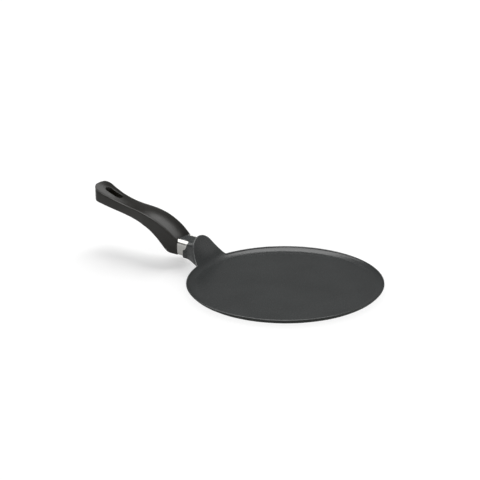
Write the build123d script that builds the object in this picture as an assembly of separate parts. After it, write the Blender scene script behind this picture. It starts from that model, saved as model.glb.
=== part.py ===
"""Crepe pan: cast aluminium griddle disc with a flared stem, steel flame guard and moulded handle.

Millimetres, +Z up. The origin is the centre of the base's flat underside; the handle runs along -X.
"""
from build123d import *
from math import cos, radians, sin
import os

os.makedirs("parts", exist_ok=True)

# ---------------------------------------------------------------- driving dimensions
pan_diameter = 250.0        # over the rim
rim_height = 10.0           # rim above the hob
floor_thickness = 5.0       # cast floor under the cooking surface
base_inset = 16.0           # rim to the edge of the flat that stands on the hob
cooking_inset = 12.0        # rim to the edge of the flat cooking surface
wall_bulge = 1.3            # belly of the outer wall between the rim and the foot
lip_thickness = 2.4         # rim, eased all round
groove_count, groove_first, groove_pitch = 5, 9.0, 15.0    # first: in from the base's edge
groove_width, groove_depth = 3.0, 0.7

fin_height = 29.0           # top of the flared fin above the rim
fin_thickness, fin_bevel = 2.6, 0.9
fin_crown_radius = 18.3     # rounded top of the fin, seen along the handle
fin_lean = 31.0             # lean of the fin's side edges from upright, degrees

stem_width, stem_height = 24.2, 21.4
stem_low = 0.2              # underside of the stem above the rim
stem_corner_top, stem_corner_low = 4.2, 3.5
stem_length = 44.3          # rim to the handle's front face
collar_length = 7.0
collar_proud, collar_drop = 1.1, 2.4
tenon_width, tenon_height, tenon_length = 14.0, 10.0, 18.5
tenon_low = 9.6             # underside of the tenon above the rim

guard_sheet = 0.8
guard_length = 11.7         # wrapped length along the stem
tab_reach, tab_depth = 6.8, 12.4

handle_length = 146.2
handle_rise = 67.0          # ridge at the tip above the rim
handle_front_width = 29.4
handle_crown = 56.0         # radius of the crowned top, across the handle
handle_bevel, handle_low_edge, slot_bevel = 0.7, 1.6, 0.8
heel_length, heel_bend = 11.5, 6.0
blank_spare = 3.0           # stock above the handle's ridge, taken off with the crown
slot_inset, slot_length, slot_width = 26.7, 28.5, 10.4    # inset: slot's middle from the tip

screw_diameter, screw_head, screw_head_height = 5.0, 9.0, 3.4
screw_at = 10.0             # screw axis behind the handle's front face
screw_seat = 5.0            # seat of the washer above the handle's underside
washer_thickness = 1.1
fit_clearance = 0.3         # round parts that slide together

# ---------------------------------------------------------------- derived positions
pan_radius = pan_diameter / 2
base_diameter = pan_diameter - 2 * base_inset
cooking_diameter = pan_diameter - 2 * cooking_inset
lip_inner = pan_radius - lip_thickness
lip_base = rim_height - lip_thickness / 2
handle_front = pan_radius + stem_length
collar_back = handle_front - guard_length
collar_front = collar_back - collar_length
stem_top = stem_low + stem_height
slot_centre = handle_length - slot_inset
heel_low = stem_low - guard_sheet + 0.5


def at(distance, height):
    """Point of the side view: distance from the pan's axis along the handle, height above the rim."""
    return (-distance, rim_height + height)


def section_plane(distance):
    """Plane across the handle, its local x along +Y and local y along +Z."""
    return Plane(origin=(-distance, 0, rim_height), x_dir=(0, 1, 0), z_dir=(1, 0, 0))


def rounded_section(half_low, half_top, low, top, corner_low, corner_top):
    """Rounded trapezium drawn across the handle."""
    with BuildSketch() as sketch:
        with BuildLine():
            Polyline((-half_low, low), (half_low, low), (half_top, top), (-half_top, top), close=True)
        make_face()
        low_points = sketch.vertices().sort_by(Axis.Y)[:2]
        fillet(low_points, corner_low)
        high_points = [v for v in sketch.vertices() if v.Y > (low + top) / 2 and abs(v.Y - top) < 1e-6]
        fillet(high_points, corner_top)
    return sketch.sketch


def stem_section():
    half = stem_width / 2
    return rounded_section(half, half, stem_low, stem_top, stem_corner_low, stem_corner_top)


# ---------------------------------------------------------------- cast pan body
# inner surface in (radius, height): the rise of the pan wall and the fin's face above it
wall_curve = TangentArc((cooking_diameter / 2, floor_thickness), (lip_inner, lip_base), tangent=(1, 0))
fin_start = wall_curve % 1
fin_curve = Spline((lip_inner, lip_base), (pan_radius + 6.6, rim_height + 7.7),
                   (pan_radius + 12.2, rim_height + 20.6), (pan_radius + 15.4, rim_height + fin_height + 2),
                   tangents=[(fin_start.X, fin_start.Y), (cos(radians(75)), sin(radians(75)))])


def bowl(skin):
    """Everything inside the cooking surface, the wall and the fin's inner face, grown by a skin."""
    wall, face = (curve.moved(Location((skin, 0, 0))) for curve in (wall_curve, fin_curve))
    with BuildPart() as solid:
        with BuildSketch(Plane.XZ):
            with BuildLine():
                add([wall, face])
                top = face @ 1
                Polyline((top.X, top.Y), (top.X, top.Y + 20), (0, top.Y + 20), (0, floor_thickness),
                         (cooking_diameter / 2 + skin, floor_thickness))
            make_face()
        revolve(axis=Axis.Z)
    return solid.part


def griddle_disc():
    """Turned disc with its low wall, eased lip and ringed underside."""
    foot = base_diameter / 2
    with BuildPart() as disc:
        with BuildSketch(Plane.XZ):
            with BuildLine():
                add(wall_curve)
                Polyline(*[(pan_radius - lip_thickness / 2 * (1 + cos(radians(turn))),
                            lip_base + lip_thickness / 2 * sin(radians(turn)))
                           for turn in (0, 45, 90, 135, 180)])
                SagittaArc((foot + 1.5, 0.6), (pan_radius, lip_base), -wall_bulge)
                Polyline((foot + 1.5, 0.6), (foot, 0), (0, 0), (0, floor_thickness),
                         (cooking_diameter / 2, floor_thickness))
            make_face()
        revolve(axis=Axis.Z)
        with BuildSketch(Plane.XZ):
            for ring in range(groove_count):
                radius = foot - groove_first - ring * groove_pitch
                with BuildLine():
                    Polyline((radius - groove_width / 2, -1), (radius - groove_width / 2, 0),
                             (radius, groove_depth), (radius + groove_width / 2, 0),
                             (radius + groove_width / 2, -1), close=True)
                make_face()
        revolve(axis=Axis.Z, mode=Mode.SUBTRACT)
    return disc.part


def fin_outline():
    """Fin seen along the handle: straight leaning sides, tangent to a round top."""
    centre = fin_height - fin_crown_radius
    lean = radians(fin_lean)
    side = (fin_crown_radius * cos(lean), centre + fin_crown_radius * sin(lean))
    root = -2.5
    foot = side[0] + (side[1] - root) * sin(lean) / cos(lean)
    with BuildSketch() as sketch:
        with BuildLine():
            ThreePointArc(side, (0, fin_height), (-side[0], side[1]))
            Polyline((-side[0], side[1]), (-foot, root), (foot, root), side)
        make_face()
    return sketch.sketch


def fin():
    with BuildPart() as shell:
        with BuildSketch(Plane.XZ):
            with BuildLine():
                back_curve = fin_curve.moved(Location((fin_thickness, -1, 0)))
                add(fin_curve)
                add(back_curve)
                Line(fin_curve @ 0, back_curve @ 0)
                Line(fin_curve @ 1, back_curve @ 1)
            make_face()
        revolve(axis=Axis.Z)
    return shell.part


def stem_gusset():
    """Collar behind the flame guard and the gusset that widens from it to the fin."""
    half = stem_width / 2 + collar_proud
    low = stem_low - collar_drop
    centre = fin_height - fin_crown_radius
    with BuildPart() as solid:
        for distance, half_low, half_top, top, corner_low, corner_top in (
                (collar_back, half, half, stem_top, 4.0, 5.0),
                (collar_front, half, half, stem_top - 0.6, 4.0, 5.0),
                (pan_radius - 5, half + 21.5, half + 1.6, centre + fin_crown_radius - 1.4, 4.0, 11.0)):
            plane = section_plane(distance)
            add(plane * rounded_section(half_low, half_top, low, top, corner_low, corner_top))
        loft(ruled=True)
    return solid.part


def tab_outline(grow):
    """Side view of the flame guard's pan end, its upper tab reaching further; grown by a margin."""
    tip = collar_back - tab_reach - grow
    step = collar_back - grow
    split = stem_top - tab_depth
    with BuildSketch(Plane.XZ) as sketch:
        with BuildLine():
            Polyline(at(handle_front, stem_low - 6), at(step, stem_low - 6), at(step, split - 1.4 - grow),
                     at(step - 2.2, split - grow), at(tip + 2.2, split + 2 - grow), at(tip, split + 7),
                     at(tip, stem_top + 6), at(handle_front, stem_top + 6), close=True)
        make_face()
        corners = [v for v in sketch.vertices() if -handle_front + 1 < v.X
                   and stem_low < v.Z - rim_height < stem_top]
        fillet(corners, 1.2)
    return sketch.sketch


def stem_bar(section, start, end):
    """Section extruded along the handle from one distance to another."""
    return extrude(section_plane(end) * section, amount=end - start)


def pan_body():
    reach = pan_radius + 60
    window = extrude(section_plane(reach) * fin_outline(), amount=90)
    body = fin() & window
    body = chamfer([e for e in body.edges() if e.center().Z > rim_height + 3 and e.length > 20], fin_bevel)
    under_rim = section_plane(reach) * (Pos(0, -11) * Rectangle(80, 20))
    block = stem_gusset() & (window + extrude(under_rim, amount=90))
    block += stem_bar(stem_section(), collar_front, handle_front)
    recess = extrude(tab_outline(0.7), amount=stem_width, both=True)
    recess &= Pos(-(collar_front + collar_back) / 2, 0, rim_height) * Box(collar_length + 4, 60, 80)
    block -= recess - stem_bar(stem_section(), collar_front - 6, handle_front)
    body += block - bowl(lip_thickness / 2)
    body += griddle_disc()
    tenon = Pos(1 - handle_front - tenon_length / 2, 0, rim_height + tenon_low + tenon_height / 2) * Box(
        tenon_length + 2, tenon_width, tenon_height)
    body += tenon
    bore = Pos(-handle_front - screw_at, 0, rim_height + tenon_low) * Cylinder(screw_diameter / 2, 8)
    body -= bore
    return body


# ---------------------------------------------------------------- steel flame guard
def flame_guard():
    """U-shaped sheet round the stem's sides and underside, open on top, with a tab each side."""
    half = stem_width / 2
    outer = rounded_section(half + guard_sheet, half + guard_sheet, stem_low - guard_sheet,
                            stem_top + guard_sheet, stem_corner_low + 0.2, stem_corner_top + 0.2)
    inner = rounded_section(half, half, stem_low, stem_top, stem_corner_low - 0.6, stem_corner_top - 0.6)
    wrap = stem_bar(outer - inner, collar_front, handle_front)
    mouth = Pos(-(collar_front + handle_front) / 2, 0, rim_height + stem_top) * Box(
        stem_length, stem_width - 2 * stem_corner_top * (1 - sin(radians(28))) + 0.4, 8)
    return (wrap - mouth) & extrude(tab_outline(0), amount=stem_width, both=True)


# ---------------------------------------------------------------- moulded handle
# drawn from its own front face: x back along the handle is negative, heights are above the rim
def side(share, rise):
    """Point of the side view as shares of the handle's length and of its rise."""
    return (-share * handle_length, rise * handle_rise)


def handle_blank():
    """Side view extruded past both ends, and the cutter that leaves a crowned top along its ridge."""
    hump = TangentArc(side(-0.055, 0.227), side(0.325, 0.685), tangent=side(0.1, 0.234))
    waist = TangentArc(hump @ 1, side(0.465, 0.718), tangent=hump % 1)
    rise = TangentArc(waist @ 1, side(1.055, 1.054), tangent=waist % 1)
    ridge = Wire([hump, waist, rise])
    heel = [((hump @ 0).X, heel_low), (-heel_length, heel_low + 0.6)]
    belly = Spline(heel[-1], *[side(*point) for point in (
        (0.135, 0.082), (0.217, 0.237), (0.299, 0.355), (0.422, 0.455), (0.627, 0.53), (0.832, 0.602),
        (1.055, 0.709))])
    with BuildPart() as solid:
        with BuildSketch(Plane.XZ.offset(-handle_front_width)):
            with BuildLine():
                add([arc.moved(Location((0, blank_spare, 0))) for arc in (hump, waist, rise)])
                add(belly)
                Polyline(ridge @ 0 + Vector(0, blank_spare), *heel)
                Line(ridge @ 1 + Vector(0, blank_spare), belly @ 1)
            make_face()
        extrude(amount=2 * handle_front_width)
    reach = handle_front_width * 0.75
    sag = handle_crown - (handle_crown ** 2 - reach ** 2) ** 0.5
    rail = Plane.XZ * ridge
    with BuildPart() as over:
        for step in range(13):
            with BuildSketch(Plane(origin=rail @ (step / 12), x_dir=(0, -1, 0), z_dir=rail % (step / 12))):
                with BuildLine():
                    ThreePointArc((-reach, -sag), (0, 0), (reach, -sag))
                    Polyline((reach, -sag), (reach, 12), (-reach, 12), (-reach, -sag))
                make_face()
        loft()
    return solid.part, over.part


def handle_plan():
    """Plan outline: wide at the front, waisted, blunt rounded tip."""
    edge = [(-share * handle_length, half * handle_front_width) for share, half in (
        (-0.041, 0.48), (0.15, 0.527), (0.369, 0.5), (0.534, 0.422), (0.643, 0.401), (0.766, 0.422),
        (0.876, 0.469), (0.992, 0.497))]
    mirrored = [(x, -y) for x, y in edge]
    with BuildSketch() as sketch:
        with BuildLine():
            Spline(*edge)
            Spline(*mirrored)
            ThreePointArc(mirrored[-1], (-handle_length, 0), edge[-1])
            Line(mirrored[0], edge[0])
        make_face()
        fillet(sketch.vertices().sort_by(Axis.X)[:2], handle_front_width * 0.255)
    return sketch.sketch


def long_edges(faces):
    """Edges of these faces that do not lie straight across the handle, short of its tip."""
    return [e for f in faces for e in f.edges()
            if e.bounding_box().size.X > 0.5 or e.center().X < 10 - handle_length]


def handle():
    """Crowned, waisted blank with its heel, hanging slot, tenon socket and screw recess."""
    blank, over = handle_blank()
    body = blank & extrude(handle_plan(), amount=200, both=True)
    heel_kink = body.edges().filter_by(Axis.Y).filter_by(lambda e: abs(e.center().X + heel_length) < 0.1)
    body = fillet(heel_kink.sort_by(Axis.Z)[:1], heel_bend) - over
    body = chamfer(long_edges(f for f in body.faces() if f.normal_at().Z > 0.5), handle_bevel)
    body = chamfer(long_edges(f for f in body.faces() if f.normal_at().Z < -0.5), handle_low_edge)
    body -= Pos(10, 0, 0) * Box(20, 80, 200)

    slot = Pos(-slot_centre, 0, 0) * extrude(SlotOverall(slot_length, slot_width), amount=120)
    body -= slot
    rims = [e for e in body.edges() if abs(e.center().X + slot_centre) < slot_length / 2 + 0.1
            and abs(e.center().Y) < slot_width / 2 + 0.1 and e.bounding_box().size.Y < slot_width + 0.5
            and e.bounding_box().size.X > 0.5]
    body = chamfer(rims, slot_bevel)

    body -= Pos(0, 0, tenon_low + tenon_height / 2) * Box(
        2 * (tenon_length + fit_clearance), tenon_width + 2 * fit_clearance, tenon_height + 2 * fit_clearance)
    seat = heel_low + screw_seat
    below = Pos(-screw_at, 0, -10)
    body -= below * extrude(Circle(screw_head / 2 + 0.6), amount=seat + 10)
    body -= below * extrude(Circle(screw_diameter / 2 + fit_clearance), amount=seat + 18)
    return Pos(-handle_front, 0, rim_height) * body


# ---------------------------------------------------------------- fixing under the heel
def lock_washer():
    """Split spring washer on the recess's seat."""
    top = rim_height + heel_low + screw_seat
    ring = Circle(screw_head / 2 - 0.2) - Circle(screw_diameter / 2 + fit_clearance)
    split = Rot(0, 0, 15) * Pos(screw_head / 2, 0, 0) * Rectangle(screw_head, 0.9)
    washer = extrude(ring - split, amount=washer_thickness)
    return Pos(-handle_front - screw_at, 0, top - washer_thickness) * washer


def handle_screw():
    """Cheese-head screw with a driver slot, driven upwards into the tenon."""
    top = rim_height + heel_low + screw_seat - washer_thickness
    head = extrude(Circle(screw_head / 2), amount=screw_head_height)
    head = chamfer(head.faces().sort_by(Axis.Z)[0].edges(), 0.8)
    head -= Box(screw_head + 2, 1.2, 3.2)
    shank_length = tenon_low - heel_low - screw_seat + washer_thickness + 3.6
    shank = Pos(0, 0, screw_head_height) * Cylinder(screw_diameter / 2 - 0.05, shank_length,
                                                    align=(Align.CENTER, Align.CENTER, Align.MIN))
    return Pos(-handle_front - screw_at, 0, top - screw_head_height) * (head + shank)


for name, shape in (("pan_body", pan_body()), ("flame_guard", flame_guard()), ("handle", handle()),
                    ("handle_screw", handle_screw()), ("lock_washer", lock_washer())):
    export_step(shape, f"parts/{name}.step")
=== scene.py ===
from math import asin, cos, hypot, pi, radians, sin, sqrt, tan

import bmesh
import bpy
from mathutils import Matrix, Vector


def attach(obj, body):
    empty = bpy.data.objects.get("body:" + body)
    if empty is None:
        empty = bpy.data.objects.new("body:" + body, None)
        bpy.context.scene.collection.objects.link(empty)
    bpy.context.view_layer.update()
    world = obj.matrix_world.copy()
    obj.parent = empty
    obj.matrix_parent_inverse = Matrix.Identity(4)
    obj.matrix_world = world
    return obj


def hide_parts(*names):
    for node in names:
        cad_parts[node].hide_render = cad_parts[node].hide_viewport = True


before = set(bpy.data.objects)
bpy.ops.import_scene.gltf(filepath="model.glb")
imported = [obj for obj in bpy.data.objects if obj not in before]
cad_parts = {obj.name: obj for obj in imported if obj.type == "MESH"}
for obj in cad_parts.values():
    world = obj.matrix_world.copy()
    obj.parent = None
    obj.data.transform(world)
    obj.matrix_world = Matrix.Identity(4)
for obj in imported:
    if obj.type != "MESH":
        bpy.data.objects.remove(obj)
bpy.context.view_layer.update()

# A stovetop crepe pan: a cast aluminium griddle disc with its fin and stem, a polished stainless
# flame guard and a moulded phenolic handle.
# Sizes are in millimetres, +Z up, with the origin in the middle of the base's underside and the
# handle along -X. Distances along the stem count from the pan's axis and those on the handle from
# FRONT. Heights of the fin, the stem, the guard and the handle count from the rim.
MM = 0.001
UP = Vector((0, 0, 1))

PAN_RADIUS, RIM = 125.0, 10.0           # the rim, and its height above the hob
FLOOR_RADIUS, FLOOR = 113.0, 5.0        # flat cooking floor, and its height above the hob
BASE_RADIUS = 109.0                     # flat that stands on the hob
BEAD = 1.2                              # radius of the rounded rim and of the fin's rounded crest
LIP_RADIUS, LIP = PAN_RADIUS - 2 * BEAD, RIM - BEAD     # where the wall ends and the rounded rim starts

FIN_TOP, FIN_CROWN = 29.3, 21.3         # height of the fin and radius of its rounded top
FIN_LEAN, FIN_BEND = radians(30), 2.4   # lean of its sides, and their bend out of the rim
FIN_SLOPE, FIN_REACH = radians(78.8), 36.8      # slope of its skin at this length past the rim

STEM_HALF, STEM_LOW, STEM_TOP = 13.3, 0.2, 21.6         # half width, underside and top
STEM_CORNER, LOW_CORNER = 7.2, 3.5      # radius of the stem's upper and lower corners
SHEET = 0.8                             # thickness of the flame guard
GUARD_BACK, COLLAR_END = 157.6, 150.2   # the collar lies between the guard's wrap and the gusset
COLLAR_HALF, COLLAR_LOW = STEM_HALF + SHEET + 0.1, -2.2        # its half width and underside
COLLAR_CORNER = 2.0                     # radius of its lower corners
TAB_SHELF = (8.3, SHEET + 0.12)         # ledge under the guard's tab: its height and its depth
GUSSET_TOP = 23.4                       # height at which the gusset meets the fin

FRONT, FACE = 169.3, -1.6               # start of the handle's own distances, and its front face
LENGTH, HALF_WIDTH = 146.2, 15.6        # the handle, from FRONT to its tip


# ------------------------------------------------------------------------------ small tools
def lerp(a, b, t):
    return a + (b - a) * t


def smooth(t):
    t = min(max(t, 0.0), 1.0)
    return t * t * (3 - 2 * t)


def through(points, x):
    """Smooth cubic curve through (x, y) points, which are in order of x, read at x."""
    last = len(points) - 1
    k = 0
    while k < last - 1 and x > points[k + 1][0]:
        k += 1
    (x0, y0), (x1, y1) = points[k], points[k + 1]
    before, after = points[max(k - 1, 0)], points[min(k + 2, last)]
    m0 = (y1 - before[1]) / (x1 - before[0])
    m1 = (after[1] - y0) / (after[0] - x0)
    h, t = x1 - x0, (x - x0) / (x1 - x0)
    return (y0 * (1 + 2 * t) * (1 - t) ** 2 + m0 * h * t * (1 - t) ** 2
            + y1 * t * t * (3 - 2 * t) + m1 * h * t * t * (t - 1))


def rounding(distance, radius):
    """How far a rounded edge falls below its face at a distance from the edge."""
    if distance >= radius:
        return 0.0
    gap = radius - max(distance, 0.0)
    return radius - sqrt(max(radius * radius - gap * gap, 0.0))


def make_piece(name, points, faces, material, sharp=40):
    """Mesh piece from points in millimetres, shaded smooth except across sharp edges."""
    weld, shortest = 0.004 * MM, 0.002 * MM
    mesh = bpy.data.meshes.new(name)
    mesh.from_pydata([tuple(c * MM for c in p) for p in points], [], faces)
    work = bmesh.new()
    work.from_mesh(mesh)
    bmesh.ops.remove_doubles(work, verts=work.verts, dist=weld)
    bmesh.ops.dissolve_degenerate(work, edges=work.edges, dist=shortest)
    bmesh.ops.recalc_face_normals(work, faces=work.faces)
    work.to_mesh(mesh)
    work.free()
    mesh.shade_smooth()
    mesh.set_sharp_from_angle(angle=radians(sharp))
    piece = bpy.data.objects.new(name, mesh)
    bpy.context.scene.collection.objects.link(piece)
    mesh.materials.append(material)
    return piece


def finish_with(piece, kind, **settings):
    """Adds a modifier and writes its result into the piece's mesh."""
    modifier = piece.modifiers.new(kind.lower(), kind)
    for key, value in settings.items():
        setattr(modifier, key, value)
    bpy.context.view_layer.update()
    shown = piece.evaluated_get(bpy.context.evaluated_depsgraph_get())
    mesh = bpy.data.meshes.new_from_object(shown)
    piece.modifiers.clear()
    piece.data = mesh
    return piece


def grid_faces(rows, columns, closed_rows=False, closed_columns=False):
    """Quads of a grid of points stored row by row."""
    faces = []
    for i in range(rows if closed_rows else rows - 1):
        for j in range(columns if closed_columns else columns - 1):
            a, b = i * columns, (i + 1) % rows * columns
            k = (j + 1) % columns
            faces.append((a + j, a + k, b + k, b + j))
    return faces


# ------------------------------------------------------------------------------ materials
NOISE_SPAN = [("From Min", 0.3), ("From Max", 0.7)]     # nearly all of a noise lies between these
BLEND_SPAN = (0.35, 0.65)                               # and its colours blend between these


def linear(colour):
    """sRGB hex to linear RGBA."""
    out = []
    for k in (1, 3, 5):
        c = int(colour[k:k + 2], 16) / 255
        out.append(c / 12.92 if c <= 0.04045 else ((c + 0.055) / 1.055) ** 2.4)
    return (*out, 1.0)


def add_node(tree, kind, inputs=(), shades=(), **settings):
    """Adds a node. Inputs are (socket, value or output) pairs, settings are its own properties, and
    shades are the two sRGB colours between which it blends where it is a ramp."""
    made = tree.nodes.new(kind)
    for key, value in settings.items():
        setattr(made, key, value)
    if shades:
        for stop, place, colour in zip(made.color_ramp.elements, BLEND_SPAN, shades):
            stop.position = place
            stop.color = linear(colour)
    for socket, value in inputs:
        if isinstance(value, bpy.types.NodeSocket):
            tree.links.new(value, made.inputs[socket])
        else:
            made.inputs[socket].default_value = value
    return made


def new_material(name):
    material = bpy.data.materials.new(name)
    material.use_nodes = True
    material.node_tree.nodes.clear()
    return material, material.node_tree


def nonstick_coating():
    """PTFE non-stick coating, sprayed and baked: dark grey, even satin with a faint spray texture."""
    material, tree = new_material("sprayed_nonstick_coating")
    place = add_node(tree, "ShaderNodeTexCoord").outputs["Object"]
    # spray droplets about 0.6 mm across, and a slow drift of the coat's depth over 60 mm
    spray = add_node(tree, "ShaderNodeTexNoise", [("Vector", place), ("Scale", 1 / (0.6 * MM)),
                                                  ("Detail", 3.0), ("Roughness", 0.55)]).outputs["Fac"]
    drift = add_node(tree, "ShaderNodeTexNoise", [("Vector", place), ("Scale", 1 / (60 * MM)),
                                                  ("Detail", 2.0)]).outputs["Fac"]
    colour = add_node(tree, "ShaderNodeValToRGB", [("Fac", drift)], shades=("#222424", "#272929"))
    satin = add_node(tree, "ShaderNodeMapRange", [("Value", spray), *NOISE_SPAN,
                                                  ("To Min", 0.24), ("To Max", 0.32)])
    bump = add_node(tree, "ShaderNodeBump", [("Height", spray), ("Strength", 0.12),
                                             ("Distance", 0.03 * MM)])
    shader = add_node(tree, "ShaderNodeBsdfPrincipled", [
        ("Base Color", colour.outputs["Color"]), ("Roughness", satin.outputs["Result"]), ("IOR", 1.58),
        ("Normal", bump.outputs["Normal"])])
    add_node(tree, "ShaderNodeOutputMaterial", [("Surface", shader.outputs["BSDF"])])
    return material


def matt_enamel():
    """Heat-proof enamel on the outside, sprayed matt: very dark, with hardly any shine."""
    material, tree = new_material("matt_outer_enamel")
    place = add_node(tree, "ShaderNodeTexCoord").outputs["Object"]
    # orange peel about 1.2 mm across
    peel = add_node(tree, "ShaderNodeTexNoise", [("Vector", place), ("Scale", 1 / (1.2 * MM)),
                                                 ("Detail", 2.0)]).outputs["Fac"]
    colour = add_node(tree, "ShaderNodeValToRGB", [("Fac", peel)], shades=("#242624", "#282a28"))
    bump = add_node(tree, "ShaderNodeBump", [("Height", peel), ("Strength", 0.12),
                                             ("Distance", 0.03 * MM)])
    shader = add_node(tree, "ShaderNodeBsdfPrincipled", [
        ("Base Color", colour.outputs["Color"]), ("Roughness", 0.6), ("Specular IOR Level", 0.06),
        ("Normal", bump.outputs["Normal"])])
    add_node(tree, "ShaderNodeOutputMaterial", [("Surface", shader.outputs["BSDF"])])
    return material


def phenolic():
    """Phenolic resin, compression moulded: warm black satin with the mould's fine grain."""
    material, tree = new_material("moulded_phenolic")
    place = add_node(tree, "ShaderNodeTexCoord").outputs["Object"]
    # the mould's grain, 0.35 mm across, and the resin's flow, which drifts in tone over 25 mm
    grain = add_node(tree, "ShaderNodeTexNoise", [("Vector", place), ("Scale", 1 / (0.35 * MM)),
                                                  ("Detail", 2.0)]).outputs["Fac"]
    flow = add_node(tree, "ShaderNodeTexNoise", [("Vector", place), ("Scale", 1 / (25 * MM)),
                                                 ("Detail", 3.0)]).outputs["Fac"]
    colour = add_node(tree, "ShaderNodeValToRGB", [("Fac", flow)], shades=("#110f0a", "#14120d"))
    satin = add_node(tree, "ShaderNodeMapRange", [("Value", grain), *NOISE_SPAN,
                                                  ("To Min", 0.27), ("To Max", 0.33)])
    bump = add_node(tree, "ShaderNodeBump", [("Height", grain), ("Strength", 0.1),
                                             ("Distance", 0.02 * MM)])
    shader = add_node(tree, "ShaderNodeBsdfPrincipled", [
        ("Base Color", colour.outputs["Color"]), ("Roughness", satin.outputs["Result"]), ("IOR", 1.45),
        ("Normal", bump.outputs["Normal"])])
    add_node(tree, "ShaderNodeOutputMaterial", [("Surface", shader.outputs["BSDF"])])
    return material


def polished_steel():
    """Stainless sheet, pressed and polished: bright, with faint polishing lines round the stem."""
    material, tree = new_material("polished_stainless_sheet")
    place = add_node(tree, "ShaderNodeTexCoord").outputs["Object"]
    # polishing lines 0.4 mm wide and drawn out 25 times across the stem: real ones are too fine to show
    stretched = add_node(tree, "ShaderNodeMapping", [("Vector", place), ("Scale", (1.0, 0.04, 0.04))])
    lines = add_node(tree, "ShaderNodeTexNoise", [
        ("Vector", stretched.outputs["Vector"]), ("Scale", 1 / (0.4 * MM)), ("Detail", 2.0)]).outputs["Fac"]
    colour = add_node(tree, "ShaderNodeValToRGB", [("Fac", lines)], shades=("#c0bfbb", "#cccbc7"))
    gloss = add_node(tree, "ShaderNodeMapRange", [("Value", lines), *NOISE_SPAN,
                                                  ("To Min", 0.2), ("To Max", 0.28)])
    bump = add_node(tree, "ShaderNodeBump", [("Height", lines), ("Strength", 0.15),
                                             ("Distance", 0.02 * MM)])
    shader = add_node(tree, "ShaderNodeBsdfPrincipled", [
        ("Base Color", colour.outputs["Color"]), ("Metallic", 1.0), ("Roughness", gloss.outputs["Result"]),
        ("Normal", bump.outputs["Normal"])])
    add_node(tree, "ShaderNodeOutputMaterial", [("Surface", shader.outputs["BSDF"])])
    return material


def plated_steel():
    """Zinc-plated steel, barrel plated: pale grey with a soft, slightly uneven shine."""
    material, tree = new_material("zinc_plated_steel")
    place = add_node(tree, "ShaderNodeTexCoord").outputs["Object"]
    # cloudy spots about 1.5 mm across
    mottle = add_node(tree, "ShaderNodeTexNoise", [("Vector", place), ("Scale", 1 / (1.5 * MM)),
                                                   ("Detail", 3.0)]).outputs["Fac"]
    colour = add_node(tree, "ShaderNodeValToRGB", [("Fac", mottle)], shades=("#9fa1a0", "#b4b6b6"))
    gloss = add_node(tree, "ShaderNodeMapRange", [("Value", mottle), *NOISE_SPAN,
                                                  ("To Min", 0.3), ("To Max", 0.42)])
    shader = add_node(tree, "ShaderNodeBsdfPrincipled", [
        ("Base Color", colour.outputs["Color"]), ("Metallic", 1.0),
        ("Roughness", gloss.outputs["Result"])])
    add_node(tree, "ShaderNodeOutputMaterial", [("Surface", shader.outputs["BSDF"])])
    return material


# ------------------------------------------------------------------------------ cast pan
WALL_RUN, WALL_RISE = LIP_RADIUS - FLOOR_RADIUS, LIP - FLOOR
WALL_BEND = (WALL_RUN ** 2 + WALL_RISE ** 2) / (2 * WALL_RISE)      # radius of the wall's curve, inside
WALL_SLOPE = asin(WALL_RUN / WALL_BEND)                             # the wall's slope at the rim
WALL_LENGTH = WALL_BEND * WALL_SLOPE

OUTER_WALL = ((PAN_RADIUS, LIP), (119.3, 3.55), (110.5, 0.55))      # (radius, height): rim, middle, foot
FIN_JOIN = 0.42                         # share of the outer wall at which the fin's back has run into it
FIN_BACK = 0.7                          # share of the back's rows that lie on the fin, above the rim
FIN_BLEND = 5.0                         # length past the rim over which the edge turns into the fin's
GROOVES, GROOVE_EDGE, GROOVE_PITCH = 5, 9.0, 15.0       # the first groove's distance from the base's edge

# mesh rows of the casting
FLOOR_RINGS = (25, 50, 75, 92, 103, 109, 111.5)         # radii on the cooking floor
MIDDLE_RING = 20.0                      # innermost radius on the underside
WALL_ROWS, BEAD_ROWS, BACK_ROWS = 16, 10, 14            # up the wall or fin, round its edge, down its back
LOW_WALL = (0.55, 0.7, 0.85, 1.0)       # shares of the outer wall, below where the fin's back joins it
BY_LENGTH, BY_HEIGHT = 0, 2             # places in a row of COOKING_SIDE


def cooking_side():
    """Up the wall and on over the fin in short steps: (length past the rim, radius, height, slope)."""
    wall_steps, fin_steps = 100, 400
    rows = []
    for k in range(-wall_steps, 1):
        slope = WALL_SLOPE * (1 + k / wall_steps)
        rows.append((WALL_LENGTH * k / wall_steps, FLOOR_RADIUS + WALL_BEND * sin(slope),
                     FLOOR + WALL_BEND * (1 - cos(slope)), slope))
    step = FIN_REACH / fin_steps
    for k in range(1, fin_steps + 1):
        s, r, z, _ = rows[-1]
        slope = lerp(WALL_SLOPE, FIN_SLOPE, (k - 0.5) / fin_steps)
        rows.append((s + step, r + step * cos(slope), z + step * sin(slope), slope))
    return rows


COOKING_SIDE = cooking_side()


def cooking_side_at(key, value):
    """(length, radius, height, slope) where the length or the height has a value."""
    low, high = 0, len(COOKING_SIDE) - 1
    while high - low > 1:
        middle = (low + high) // 2
        if COOKING_SIDE[middle][key] > value:
            high = middle
        else:
            low = middle
    a, b = COOKING_SIDE[low], COOKING_SIDE[high]
    t = (value - a[key]) / (b[key] - a[key])
    return tuple(lerp(p, q, t) for p, q in zip(a, b))


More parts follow.
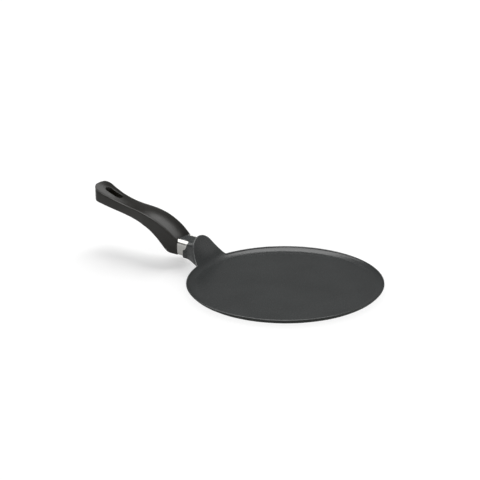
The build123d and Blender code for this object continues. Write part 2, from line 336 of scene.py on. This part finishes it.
def fin_edge():
    """(y, height) of the line round which the rounded edge runs over the fin, from -y to +y."""
    bend_steps, side_steps, crown_steps = 8, 22, 18
    turn = pi / 2 - FIN_LEAN                # how far the line turns in each bend
    crown, centre = FIN_CROWN - BEAD, FIN_TOP - FIN_CROWN
    shoulder = (crown * cos(FIN_LEAN), centre + crown * sin(FIN_LEAN))
    start = -BEAD
    corner = shoulder[0] + (shoulder[1] - start) * tan(FIN_LEAN)
    run = FIN_BEND * tan(turn / 2)
    half = []
    for k in range(bend_steps + 1):         # hollow bend out of the rim
        a = turn * k / bend_steps
        half.append((corner + run - FIN_BEND * sin(a), start + FIN_BEND * (1 - cos(a))))
    foot = half[-1]
    for k in range(1, side_steps):          # straight side
        t = k / side_steps
        half.append((lerp(foot[0], shoulder[0], t), lerp(foot[1], shoulder[1], t)))
    for k in range(crown_steps):            # rounded top
        a = turn * (1 - k / crown_steps)
        half.append((crown * sin(a), centre + crown * cos(a)))
    return [(-y, z) for y, z in half] + [(0.0, centre + crown)] + half[::-1]


def outwards(angle):
    """Unit vector away from the pan's axis, at an angle from the handle's side."""
    return Vector((-cos(angle), sin(angle), 0))


def edge_columns():
    """(angle, length past the rim) of the casting's edge: over the fin, and on round the plain rim."""
    rim_steps = 176
    columns = []
    for y, z in fin_edge():
        s, r, _, _ = cooking_side_at(BY_HEIGHT, RIM + z)
        columns.append((asin(y / r), s))
    side = columns[-1][0]
    columns += [(side + (2 * pi - 2 * side) * k / rim_steps, 0.0) for k in range(1, rim_steps)]
    return columns


def outer_wall(t):
    """(radius, height) down the outer wall, from the rim (0) to the foot (1)."""
    return tuple((1 - t) ** 2 * rim + 2 * t * (1 - t) * (2 * middle - (rim + foot) / 2) + t * t * foot
                 for rim, middle, foot in zip(*OUTER_WALL))


def behind(s):
    """(radius, height) on the back of the skin, one thickness behind the cooking side."""
    _, r, z, slope = cooking_side_at(BY_LENGTH, s)
    return r + 2 * BEAD * sin(slope), z - 2 * BEAD * cos(slope)


def fin_back(s, t):
    """(radius, height) down the fin's back, from its edge (0) to where it has joined the wall (1)."""
    if t < FIN_BACK:
        return behind(s * (1 - t / FIN_BACK))
    u = (t - FIN_BACK) / (1 - FIN_BACK)
    return tuple(lerp(a, b, u) for a, b in zip(behind(0.0), outer_wall(FIN_JOIN)))


def underside():
    """(radius, height) from the foot to the middle: flat, with shallow turned grooves."""
    groove = [(2.2, 0.0), (1.5, 0.05), (0.75, 0.5), (0.0, 0.7)]
    groove += [(-x, z) for x, z in reversed(groove[:-1])]
    line = [(BASE_RADIUS + 0.6, 0.12), (BASE_RADIUS, 0.0)]      # the base's eased edge
    for k in range(GROOVES):
        middle = BASE_RADIUS - GROOVE_EDGE - GROOVE_PITCH * k
        line += [(middle + x, z) for x, z in groove]
    return line + [(MIDDLE_RING, 0.0)]


def edge_frame(out, slope, along, fin):
    """Unit vectors across the rounded edge: upright and outwards on the plain rim (fin 0), and along
    the skin and out of its back on the fin (fin 1)."""
    back = (out * sin(slope) - UP * cos(slope)).normalized()
    crest = along.cross(back)
    if crest.dot(out * cos(slope) + UP * sin(slope)) < 0:
        crest = -crest
    crest = UP.lerp(crest, fin).normalized()
    across = out.lerp(back, fin)
    return crest, (across - crest * across.dot(crest)).normalized()


def casting_column(angle, s, edge, along):
    """One column of the casting's skin: cooking floor, wall or fin, rounded edge, back and underside."""
    out = outwards(angle)
    slope = cooking_side_at(BY_LENGTH, s)[3]
    fin = smooth(s / FIN_BLEND)
    crest, across = edge_frame(out, slope, along, fin)
    column = [out * r + UP * FLOOR for r in FLOOR_RINGS]
    for i in range(WALL_ROWS):
        _, r, z, _ = cooking_side_at(BY_LENGTH, lerp(-WALL_LENGTH, s, i / WALL_ROWS))
        column.append(out * r + UP * z)
    centre = edge + across * BEAD
    for i in range(BEAD_ROWS + 1):
        turn = pi * (i / BEAD_ROWS - 0.5)
        column.append(centre + crest * (BEAD * cos(turn)) + across * (BEAD * sin(turn)))
    for i in range(1, BACK_ROWS + 1):
        t = i / BACK_ROWS
        r, z = outer_wall(FIN_JOIN * t)
        point = out * r + UP * z
        if fin > 0:
            r, z = fin_back(s, t)
            point = point.lerp(out * r + UP * z, fin)
        column.append(point)
    column += [out * r + UP * z for r, z in map(outer_wall, LOW_WALL)]
    column += [out * r + UP * z for r, z in underside()]
    return column


def cast_disc(coating, enamel):
    """Griddle disc, wall, rounded rim and fin as one skin, drawn column by column round the pan."""
    columns = edge_columns()
    count = len(columns)
    edge = []
    for angle, s in columns:
        _, r, z, _ = cooking_side_at(BY_LENGTH, s)
        edge.append(outwards(angle) * r + UP * z)
    points = []
    for k, (angle, s) in enumerate(columns):
        along = (edge[(k + 1) % count] - edge[k - 1]).normalized()
        points += casting_column(angle, s, edge[k], along)
    rows = len(points) // count
    faces = grid_faces(count, rows, closed_rows=True)
    top, bottom = len(points), len(points) + 1
    points += [UP * FLOOR, UP * 0]
    for k in range(count):
        here, beyond = k * rows, (k + 1) % count * rows
        faces.append((top, here, beyond))
        faces.append((bottom, beyond + rows - 1, here + rows - 1))
    piece = make_piece("griddle_disc", points, faces, coating, sharp=50)
    piece.data.materials.append(enamel)
    for face in piece.data.polygons:
        looks_down = face.normal.z < -0.2
        if looks_down and face.center.z < LIP * MM:     # the outer wall and the underside are enamelled
            face.material_index = 1
    return piece


def stem_outline(half_low, half_top, low, top, corner, shelf=None):
    """Closed outline across the stem, bottom middle first, as (y, height). A shelf is a ledge's height
    and depth, and without one the same number of points lies on a plain side."""
    low_steps, top_steps = 6, 8
    span_low, span_top = low + corner, top - STEM_CORNER
    ledge, depth = shelf or (lerp(span_low, span_top, 0.35), 0.0)
    right = [(0.0, low), (half_low * 0.3, low), (half_low - corner, low)]
    right += [(half_low - corner + corner * sin(a), low + corner * (1 - cos(a)))
              for a in (pi / 2 * k / low_steps for k in range(1, low_steps + 1))]
    for z, inset in ((ledge - 0.4, 0.0), (ledge - 0.05, 0.0), (ledge, depth), (ledge + 0.4, depth),
                     (lerp(ledge, span_top, 0.5), depth)):
        t = (z - span_low) / (span_top - span_low)
        right.append((lerp(half_low, half_top, t) - inset, z))
    right += [(half_top - depth - STEM_CORNER * (1 - cos(a)), top - STEM_CORNER * (1 - sin(a)))
              for a in (pi / 2 * k / top_steps for k in range(top_steps + 1))]
    right += [((half_top - depth - STEM_CORNER) * 0.5, top), (0.0, top)]
    return right + [(-y, z) for y, z in reversed(right[1:-1])]


def skin_middle(y, z):
    """Distance along the handle at which the middle of the wall's or the fin's thickness lies."""
    lowest, flattest = FLOOR + 0.5, 0.35    # where the wall is nearly flat its middle isn't sought further
    _, r, _, slope = cooking_side_at(BY_HEIGHT, max(RIM + z, lowest))
    radius = r + BEAD / max(sin(slope), flattest)
    return sqrt(max(radius * radius - y * y, 0.0))


def cast_stem(coating):
    """Stem, collar and gusset of the casting; the gusset's far end lies inside the fin's skin."""
    def collar(top, shelf=None, narrower=0.0):
        return stem_outline(COLLAR_HALF, COLLAR_HALF - narrower, COLLAR_LOW, top, COLLAR_CORNER, shelf)

    stem = stem_outline(STEM_HALF, STEM_HALF, STEM_LOW, STEM_TOP, LOW_CORNER)
    collar_top = STEM_TOP + 0.1
    start, end = collar(collar_top), collar(GUSSET_TOP, narrower=0.4)
    # where the outline steps in or out, two stations lie close together
    stations = [(FRONT, stem), (GUARD_BACK + 0.02, stem), (GUARD_BACK, collar(STEM_TOP, TAB_SHELF)),
                (COLLAR_END + 0.4, collar(collar_top, TAB_SHELF)), (COLLAR_END, start)]
    points = [Vector((-x, y, RIM + z)) for x, outline in stations for y, z in outline]

    # the gusset flares out towards its foot and widens as it nears the fin
    steps, spread, fade, onset = 14, 16.5, 2.6, 1.1
    for k in range(1, steps + 1):
        t = k / steps
        for (y0, z0), (y1, z1) in zip(start, end):
            flare = spread * ((GUSSET_TOP - z1) / (GUSSET_TOP - COLLAR_LOW)) ** fade * y1 / COLLAR_HALF
            x = lerp(COLLAR_END, skin_middle(y1 + flare, z1), t)
            y = lerp(y0, y1, t) + flare * t ** onset
            points.append(Vector((-x, y, RIM + lerp(z0, z1, smooth(t)))))

    # the hidden end turns back into the stem, clear of the fin's curved face
    middle, shrink, turned_back = (COLLAR_LOW + GUSSET_TOP) / 2, 0.5, 3.0
    points += [Vector((turned_back - COLLAR_END, y * shrink, RIM + middle + (z - middle) * shrink))
               for y, z in end]
    columns = len(start)
    rows = len(stations) + steps + 1
    faces = grid_faces(rows, columns, closed_columns=True)
    faces.append(tuple(range(columns)))
    faces.append(tuple(range((rows - 1) * columns, rows * columns)))
    return make_piece("stem_casting", points, faces, coating, sharp=32)


# ------------------------------------------------------------------------------ flame guard
# (height, distance) of the guard's end towards the pan: the wrap, and the rounded tab above it
GUARD_END = [(-9, GUARD_BACK), (8.6, GUARD_BACK), (9.4, 155.4), (10.4, 154.0), (12.0, 153.0),
             (14.0, 152.0), (16.5, 151.0), (18.5, 150.5), (30, 150.5)]
MOUTH = radians(30)             # part of each rounded upper corner that the sheet leaves open


def guard_end(z):
    """Distance along the handle at which the sheet ends towards the pan, at a height."""
    (z0, x0), (z1, x1) = next(pair for pair in zip(GUARD_END, GUARD_END[1:]) if z <= pair[1][0])
    return lerp(x0, x1, (z - z0) / (z1 - z0))


def guard_line():
    """Line round the stem that the sheet follows, from one edge of its mouth to the other: (y, height,
    y outwards, height outwards)."""
    mouth_steps, side_steps, corner_steps = 14, 24, 8
    line = []
    for k in range(mouth_steps + 1):
        a = lerp(pi / 2 - MOUTH, 0, k / mouth_steps)
        line.append((STEM_HALF - STEM_CORNER + STEM_CORNER * cos(a),
                     STEM_TOP - STEM_CORNER + STEM_CORNER * sin(a), cos(a), sin(a)))
    for k in range(1, side_steps):
        z = lerp(STEM_TOP - STEM_CORNER, STEM_LOW + LOW_CORNER, k / side_steps)
        line.append((STEM_HALF, z, 1.0, 0.0))
    for k in range(corner_steps + 1):
        a = -pi / 2 * k / corner_steps
        line.append((STEM_HALF - LOW_CORNER + LOW_CORNER * cos(a),
                     STEM_LOW + LOW_CORNER + LOW_CORNER * sin(a), cos(a), sin(a)))
    line += [(y, STEM_LOW, 0.0, -1.0) for y in (5.0, 0.0)]
    return line + [(-y, z, -a, b) for y, z, a, b in reversed(line[:-1])]


def flame_guard(steel):
    """U of polished sheet round the stem's sides and underside, with a tab on each side."""
    line = guard_line()
    steps, clearance, tuck = 10, 0.02, 0.4      # the sheet's front edge is tucked into the handle
    points = []
    for offset in (SHEET, clearance):
        for y, z, a, b in line:
            for k in range(steps + 1):
                x = lerp(FRONT + FACE + tuck, guard_end(z), k / steps)
                points.append((-x, y + a * offset, RIM + z + b * offset))
    rows, columns = len(line), steps + 1
    inner = rows * columns                      # the inner skin's points follow the outer skin's
    faces = grid_faces(rows, columns)
    faces += [tuple(i + inner for i in face) for face in faces]
    border = [(i * columns + k, (i + 1) * columns + k) for i in range(rows - 1) for k in (0, steps)]
    border += [(i * columns + k, i * columns + k + 1) for i in (0, rows - 1) for k in range(steps)]
    faces += [(a, b, b + inner, a + inner) for a, b in border]
    piece = make_piece("flame_guard_sheet", points, faces, steel, sharp=50)
    return finish_with(piece, "BEVEL", width=0.22 * MM, segments=3, limit_method="ANGLE",
                       angle_limit=radians(60), harden_normals=True)


# ------------------------------------------------------------------------------ moulded handle
# Lines along the handle, by the distance from FRONT: the ridge's and the belly's height, and what
# the half width gains or loses from the front to the waist and on to the tip.
RIDGE = [(-8, 15.2), (0, 22.9), (6, 27.7), (13.7, 33.0), (22, 37.4), (31.7, 41.6), (42, 44.7),
         (55.7, 47.1), (67.7, 48.15), (79.7, 48.9), (91.7, 50.3), (103.7, 52.5), (115.7, 55.3),
         (127.7, 59.2), (137, 62.9), (146.2, 67.0), (154.2, 70.6)]
BELLY = [(-8, -0.1), (4, 0.1), (10.2, 0.35), (13.2, 1.0), (16.2, 2.7), (19.7, 5.6), (25.7, 11.0),
         (31.7, 15.9), (37.7, 20.2), (43.7, 24.2), (52, 28.0), (61.7, 31.2), (76, 34.0), (91.7, 36.2),
         (106, 38.2), (121.7, 40.6), (137, 43.6), (154.2, 47.5)]
WAIST = [(-6, -1.2), (0, -0.7), (8, 0.1), (22, 0.8), (38, 0.7), (54, 0), (66, -1.25), (78, -2.3),
         (94, -2.9), (112, -2.2), (128, -0.4), (145, 0.8), (160, 1.2)]
CROWN = 56.0                            # radius of the crowned top, across the handle
TIP_CORNER = 9.5                        # radius of the tip's corners, seen from above
TIP_BULGE, TIP_BOWED = 1.5, 14.0        # how far the tip's end is bowed, and the length that bows with it
DRAFT = 1.6                             # how much wider each side is at its lower edge
SLOT_AT, SLOT_HALF, SLOT_RADIUS = LENGTH - 26.7, 13.6, 4.8      # hanging slot: middle, half length, ends
TOP_EDGE, LOW_EDGE, SLOT_EDGE = 1.6, 1.7, 0.9           # radii of the rounded edges

# where a side of the grip has points: steps in from its outer edge, and out from the slot's edge
EDGE_STEPS = (0.0, 0.06, 0.22, 0.45, 0.75, 1.3, 1.9, 2.6)
SLOT_STEPS = (0.9, 0.6, 0.3, 0.08, 0.0)
MIDDLE_STEPS = 8
ROOM = 4.5                              # on a narrower strip these steps shrink to fit


def plain_half_width(along):
    """Half the handle's width at a distance along it, as if its tip had square corners."""
    return HALF_WIDTH + through(WAIST, along)


def half_width(along):
    """Half the handle's width, with the tip's rounded corners."""
    past = max(along - (LENGTH - TIP_CORNER), 0.0)
    return plain_half_width(along) - (TIP_CORNER - sqrt(max(TIP_CORNER ** 2 - past ** 2, 0.0)))


def slot_half(along):
    """Half the hanging slot's width there, or nothing outside it."""
    past = max(abs(along - SLOT_AT) - (SLOT_HALF - SLOT_RADIUS), 0.0)
    return sqrt(max(SLOT_RADIUS ** 2 - past ** 2, 0.0))


def edge_distance(along, y):
    """Distance inside the handle's outline, seen from above."""
    half = plain_half_width(along)
    past = along - (LENGTH - TIP_CORNER)
    beside = y - (half - TIP_CORNER)
    if past > 0 and beside > 0:
        return TIP_CORNER - hypot(past, beside)
    return min(half - y, LENGTH - along)


def slot_distance(along, y):
    """Distance outside the slot's outline, seen from above."""
    past = max(abs(along - SLOT_AT) - (SLOT_HALF - SLOT_RADIUS), 0.0)
    return hypot(past, y) - SLOT_RADIUS


def handle_top(along, y):
    """Height of the crowned top, with its rounded edges."""
    z = through(RIDGE, along) - (CROWN - sqrt(CROWN * CROWN - y * y))
    return z - rounding(edge_distance(along, y), TOP_EDGE) - rounding(slot_distance(along, y), SLOT_EDGE)


def handle_bottom(along, y):
    """Height of the underside, which is flat across, with its rounded edges."""
    z = through(BELLY, along)
    return z + rounding(edge_distance(along, y), LOW_EDGE) + rounding(slot_distance(along, y), SLOT_EDGE)


def side_draft(along):
    """How much wider each side is at its lower edge, where the hand closes round the grip. It comes
    in between 30 and 60 mm and goes out between 107 and 132 mm."""
    return DRAFT * smooth((along - 30) / 30) * smooth((132 - along) / 25)


def handle_stations():
    """Distances along the handle that have points, close together where its outline turns."""
    slot_bend, tip_bend = 9, 14             # steps round each end of the slot and each corner of the tip
    pitch = 1.5                             # on the plain run from the front to the slot
    stations = [FACE, FACE + 0.15, FACE + 0.5] + [pitch * k for k in range(70)]
    for end, way in ((SLOT_AT - SLOT_HALF, -1), (SLOT_AT + SLOT_HALF, 1)):
        stations = [s for s in stations if abs(s - end) > pitch + 0.1]
        stations += [end + way * d for d in SLOT_STEPS]
        stations += [end - way * SLOT_RADIUS * (1 - cos(pi / 2 * k / slot_bend))
                     for k in range(1, slot_bend + 1)]
    stations += [SLOT_AT + d for d in (-7, -4.5, -2, 0, 2, 4.5, 7)]
    stations += [SLOT_AT + SLOT_HALF + d for d in (2.2, 3.8)]
    stations += [LENGTH - TIP_CORNER + TIP_CORNER * sin(pi / 2 * k / tip_bend)
                 for k in range(tip_bend + 1)]
    stations += [LENGTH - d for d in (0.06, 0.22, 0.45, 0.75, 1.2, 1.8, 2.5)]
    return sorted({round(s, 4) for s in stations if FACE <= s <= LENGTH})


def strip(outer, inner):
    """Distances from the middle line at which a side of the grip has points, outer edge first."""
    fit = min(1.0, (outer - inner) / ROOM)
    edge = [outer - d * fit for d in EDGE_STEPS]
    slot = [inner + d * fit for d in SLOT_STEPS]
    return edge + [lerp(edge[-1], slot[0], k / MIDDLE_STEPS) for k in range(1, MIDDLE_STEPS)] + slot


def moulded_handle(resin):
    """Crowned, waisted grip with flat sides, rounded edges, a flat heel and a hanging slot."""
    stations = handle_stations()
    points, top, low = [], {}, {}

    def put(along, y, z):
        bulge = TIP_BULGE * (y / HALF_WIDTH) ** 2 * smooth((along - LENGTH + TIP_BOWED) / TIP_BOWED)
        points.append((-(FRONT + along - bulge), y, RIM + z))
        return len(points) - 1

    for i, along in enumerate(stations):
        outer, inner = half_width(along), slot_half(along)
        across = strip(outer, inner)
        for j, y in enumerate(across):
            foot = y + side_draft(along) * (y - inner) / (outer - inner)
            for side in (-1, 1):
                top[i, j, side] = put(along, side * y, handle_top(along, y))
                low[i, j, side] = put(along, side * foot, handle_bottom(along, y))

    last = len(across) - 1
    faces = []
    for side in (-1, 1):
        for i in range(len(stations) - 1):
            for sheet in (top, low):
                faces += [(sheet[i, j, side], sheet[i, j + 1, side], sheet[i + 1, j + 1, side],
                           sheet[i + 1, j, side]) for j in range(last)]
            in_slot = slot_half(0.5 * (stations[i] + stations[i + 1])) > 0
            for j in (0, last) if in_slot else (0,):
                faces.append((top[i, j, side], top[i + 1, j, side], low[i + 1, j, side], low[i, j, side]))
        for i in (0, len(stations) - 1):
            faces += [(top[i, j, side], top[i, j + 1, side], low[i, j + 1, side], low[i, j, side])
                      for j in range(last)]
    return make_piece("handle_grip", points, faces, resin, sharp=38)


def screw_recess(handle):
    """Stepped hole under the heel for the screw's head and shank."""
    screw_at, mouth, head, shank = 10, 5.7, 5.1, 2.8        # the screw's place, and the hole's radii
    seat, depth, below = 5.0, 13.0, -12     # heights of the washer's seat, the hole's end and the cutter's
    steps = 48
    turns = [2 * pi * (k + 0.5) / steps for k in range(steps)]      # no corner on the handle's middle line
    points = []
    for r, z in ((0, below), (mouth, below), (mouth, -0.2), (head, 0.4), (head, seat), (shank, seat),
                 (shank, depth), (0, depth)):
        points += [(r * cos(turn) - (FRONT + screw_at), r * sin(turn), RIM - 0.1 + z) for turn in turns]
    faces = grid_faces(len(points) // steps, steps, closed_columns=True)
    cutter = make_piece("recess_cutter", points, faces, handle.data.materials[0])
    finish_with(handle, "BOOLEAN", operation="DIFFERENCE", object=cutter, solver="EXACT")
    bpy.data.objects.remove(cutter)
    handle.data.set_sharp_from_angle(angle=radians(38))
    return handle


# ------------------------------------------------------------------------------ the pan
coating, zinc = nonstick_coating(), plated_steel()
disc = cast_disc(coating, matt_enamel())
stem = cast_stem(coating)
guard = flame_guard(polished_steel())
handle = screw_recess(moulded_handle(phenolic()))
for piece, node in ((disc, "pan_body"), (stem, "pan_body"), (guard, "flame_guard"), (handle, "handle")):
    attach(piece, "root")
    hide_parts(node)
for node in ("handle_screw", "lock_washer"):
    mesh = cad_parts[node].data
    mesh.materials.clear()
    mesh.materials.append(zinc)


# ------------------------------------------------------------------------------ studio
# Sizes and places in the studio are in metres.
GRIP_MIDDLE = (-0.2, 0, 0.05)


def flat_panel(name, size, centre, aim, power):
    """Soft box aimed at a point."""
    light = bpy.data.lights.new(name, "AREA")
    light.shape = "RECTANGLE"
    light.size, light.size_y = size
    light.energy = power
    lamp = bpy.data.objects.new(name, light)
    bpy.context.scene.collection.objects.link(lamp)
    lamp.location = centre
    lamp.rotation_euler = (Vector(aim) - Vector(centre)).to_track_quat("-Z", "Y").to_euler()
    return lamp


def table_sun(name, way, power):
    """Broad sun from beyond the pan, whose soft shadow falls on the table towards the camera."""
    light = bpy.data.lights.new(name, "SUN")
    light.energy, light.angle = power, radians(36)
    lamp = bpy.data.objects.new(name, light)
    bpy.context.scene.collection.objects.link(lamp)
    lamp.rotation_euler = Vector(way).to_track_quat("-Z", "Y").to_euler()
    return lamp


def link_light(lamp, lights, shadows=None):
    """Limits a lamp to the objects it lights and, where given, to the objects that shade it."""
    for kind, members in (("receiver", lights), ("blocker", shadows)):
        if members:
            group = bpy.data.collections.new(f"{lamp.name}_{kind}s")
            for member in members:
                group.objects.link(member)
            setattr(lamp.light_linking, f"{kind}_collection", group)


def studio_floor():
    """White table, so wide that low views show no end of it. It takes shadows, and glows a little for
    the camera, and less in reflections, so that it is white without more light on the pan."""
    reach, glow_seen, glow_mirrored = 40.0, 0.24, 0.05
    mesh = bpy.data.meshes.new("studio_floor")
    mesh.from_pydata([(-reach, -reach, 0), (reach, -reach, 0), (reach, reach, 0), (-reach, reach, 0)], [],
                     [(0, 1, 2, 3)])
    floor = bpy.data.objects.new("studio_floor", mesh)
    bpy.context.scene.collection.objects.link(floor)
    material, tree = new_material("white_table")
    paths = add_node(tree, "ShaderNodeLightPath").outputs
    mirrored = add_node(tree, "ShaderNodeMath", [(0, paths["Is Glossy Ray"]), (1, glow_mirrored)],
                        operation="MULTIPLY")
    seen = add_node(tree, "ShaderNodeMath", [(0, paths["Is Camera Ray"]), (1, glow_seen),
                                             (2, mirrored.outputs[0])], operation="MULTIPLY_ADD")
    diffuse = add_node(tree, "ShaderNodeBsdfDiffuse", [("Color", linear("#e7e7e7"))])
    glow = add_node(tree, "ShaderNodeEmission", [("Color", linear("#ffffff")),
                                                 ("Strength", seen.outputs[0])])
    both = add_node(tree, "ShaderNodeAddShader", [(0, diffuse.outputs[0]), (1, glow.outputs[0])])
    add_node(tree, "ShaderNodeOutputMaterial", [("Surface", both.outputs[0])])
    mesh.materials.append(material)
    return floor


def studio_world():
    """Even white light from all round, weak beside the lamps."""
    world = bpy.data.worlds.new("studio_air")
    world.use_nodes = True
    sky = world.node_tree.nodes["Background"]
    sky.inputs["Color"].default_value = linear("#ffffff")
    sky.inputs["Strength"].default_value = 0.2
    bpy.context.scene.world = world


def camera():
    """Long lens, 21 degrees above the table, on the side of the pan that is away from the handle."""
    turn, rise, roll = radians(39), radians(20.72), radians(-0.414)
    left, above, distance = 56.89, 51.86, 2269.6        # from the middle of the rim's plane
    back = Vector((sin(turn) * cos(rise), -cos(turn) * cos(rise), sin(rise)))
    level = Vector((cos(turn), sin(turn), 0))
    upright = back.cross(level)
    right = level * cos(roll) + upright * sin(roll)
    up = upright * cos(roll) - level * sin(roll)
    place = UP * RIM - right * left + up * above + back * distance
    lens = bpy.data.cameras.new("camera")
    lens.lens, lens.sensor_width = 135, 36
    eye = bpy.data.objects.new("camera", lens)
    bpy.context.scene.collection.objects.link(eye)
    eye.matrix_world = Matrix.Translation(place * MM) @ Matrix((right, up, back)).transposed().to_4x4()
    bpy.context.scene.camera = eye


floor = studio_floor()
studio_world()
pan = [piece for piece in bpy.data.objects if piece.type == "MESH" and piece != floor]
all_but_grip = [piece for piece in pan if piece != handle]
# name, size, place, aim, watts and what it lights
for name, size, centre, aim, power, lit in (
        ("top_box", (1.7, 1.7), (-0.1, 0.08, 1.5), (-0.1, 0, 0), 31, all_but_grip),
        ("edge_box", (1.1, 1.1), (-1.08, -0.6, 1.09), (-0.2, 0, 0.04), 8.5, pan),
        ("side_card", (1.0, 1.0), (1.2, 1.05, 0.6), (-0.1, 0, 0), 2.0, pan),
        ("front_box", (0.8, 0.6), (0.45, -1.03, 1.0), (-0.1, 0, 0), 3.5, pan),
        ("grip_box", (1.4, 0.8), (-0.22, 0.65, 1.41), GRIP_MIDDLE, 10.6, [handle]),
        ("grip_edge_box", (1.2, 0.6), (-0.6, -0.7, 1.3), GRIP_MIDDLE, 11, [handle])):
    link_light(flat_panel(name, size, centre, aim, power), lights=lit)
link_light(table_sun("high_sun", (0.72, -1.08, -1), 2.7), lights=[floor], shadows=[handle])
link_light(table_sun("low_sun", (2.1, -2.5, -1), 3.1), lights=[floor], shadows=[stem, guard])
camera()
bpy.context.scene.view_settings.view_transform = "Standard"

bpy.context.view_layer.update()
